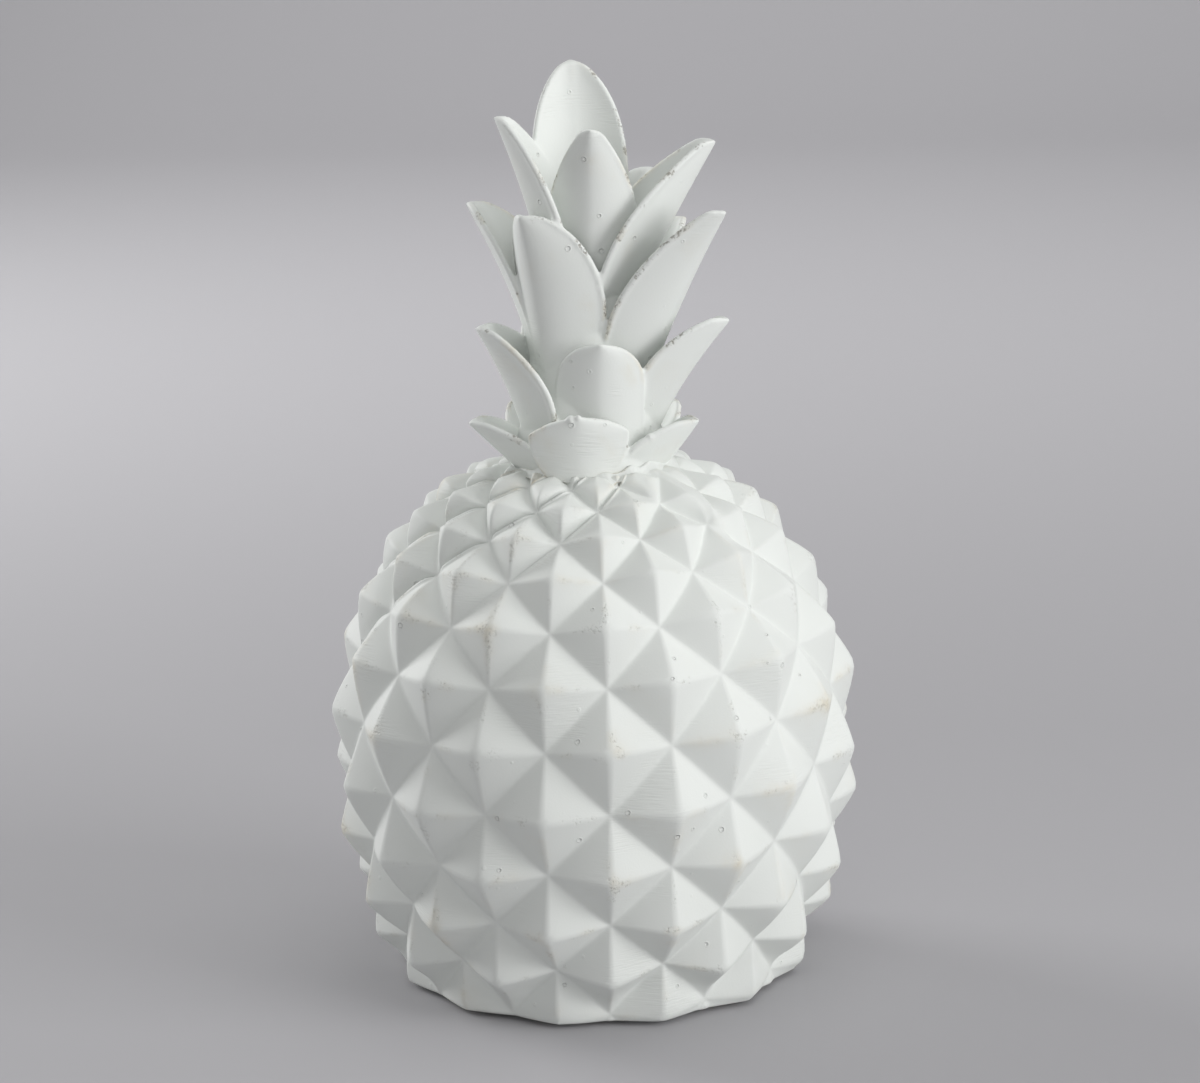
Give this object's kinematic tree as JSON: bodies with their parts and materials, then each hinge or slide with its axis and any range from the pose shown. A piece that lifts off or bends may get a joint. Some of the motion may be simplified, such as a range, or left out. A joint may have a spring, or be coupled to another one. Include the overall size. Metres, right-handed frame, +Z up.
{
  "type": "pineapple figurine",
  "caption": "Standing pineapple ornament: a hollow cast fruit with pyramid scales, a cast crown of gutter-shaped leaves and a felted foot, matt white all over.",
  "frame": {"origin": "centre of the felt pad's underside, on the axis of the fruit", "axes": "+Z up along the fruit's axis, -Y towards the front of the figurine"},
  "size_m": [0.1384, 0.1385, 0.2389],
  "materials": {
    "painted_resin": "cast resin, sprayed matt white, faint brush and file marks under the paint",
    "painted_filler": "smeared filler, painted matt white with the rest",
    "plug_resin": "bare cast resin, off-white",
    "felt": "thin grey-white felt"
  },
  "bodies": {
    "root": {"fruit_shell": "painted_resin", "leaf_crown": "painted_resin", "neck_filler": "painted_filler", "base_plug": "plug_resin", "felt_pad": "felt"}
  },
  "joints": []
}
